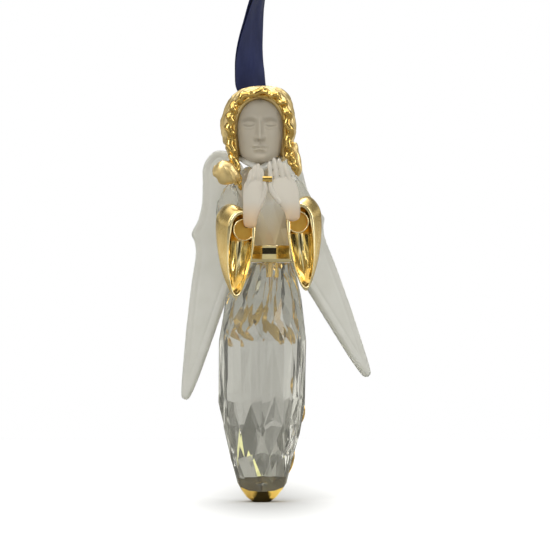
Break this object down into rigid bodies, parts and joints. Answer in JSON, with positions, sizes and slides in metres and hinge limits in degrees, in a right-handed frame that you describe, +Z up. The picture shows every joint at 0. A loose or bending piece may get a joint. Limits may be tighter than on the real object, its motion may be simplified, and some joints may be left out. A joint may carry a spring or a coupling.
{
  "type": "hanging angel ornament",
  "caption": "Praying angel ornament in clear and frosted crystal with gold-plated hair, sleeves, belt and foot, hung from a satin ribbon loop.",
  "frame": {"origin": "top of the ribbon loop, where a hook holds it", "axes": "+Z up along the hanging figure, -Y the way the face looks, +X to the viewer's right"},
  "size_m": [0.0371, 0.0261, 0.1376],
  "materials": {
    "clear_crystal": "polished facets",
    "frosted_crystal": "frosted",
    "gold_polished": "polished gold plate",
    "gold_satin": "satin gold plate",
    "satin_ribbon": "satin"
  },
  "bodies": {
    "ribbon": {"ribbon_back": "satin_ribbon", "ribbon_fold": "satin_ribbon", "ribbon_front": "satin_ribbon", "ribbon_knot": "satin_ribbon"},
    "ring": {"jump_ring": "gold_polished"},
    "figure": {"gown": "clear_crystal", "foot_cap": "gold_polished", "foot_pin": "gold_polished", "train_trim": "gold_polished", "sash": "gold_polished", "belt": "gold_polished", "waist_pin": "gold_polished", "bodice": "clear_crystal", "upper_arm_left": "clear_crystal", "upper_arm_right": "clear_crystal", "sleeve_left": "gold_polished", "sleeve_right": "gold_polished", "cuff_left": "gold_polished", "cuff_right": "gold_polished", "wrist_pin_left": "gold_polished", "wrist_pin_right": "gold_polished", "hand_left": "frosted_crystal", "hand_right": "frosted_crystal", "clasp": "gold_polished", "collar": "frosted_crystal", "neck_pin": "gold_polished", "head": "frosted_crystal", "hair": "gold_satin", "wing_left": "frosted_crystal", "wing_right": "frosted_crystal", "wing_bracket": "gold_polished", "hanging_eye": "gold_polished"}
  },
  "joints": [
    {"name": "swing_sideways", "type": "hinge", "parent": "ribbon", "child": "ring", "pos_m": [-0.0015, 0, -0.0512], "axis": [0, 1, 0], "range_deg": [-30, 30]},
    {"name": "swing_front_back", "type": "hinge", "parent": "ring", "child": "figure", "pos_m": [-0.0015, 0, -0.0541], "axis": [1, 0, 0], "range_deg": [-3, 30]}
  ]
}
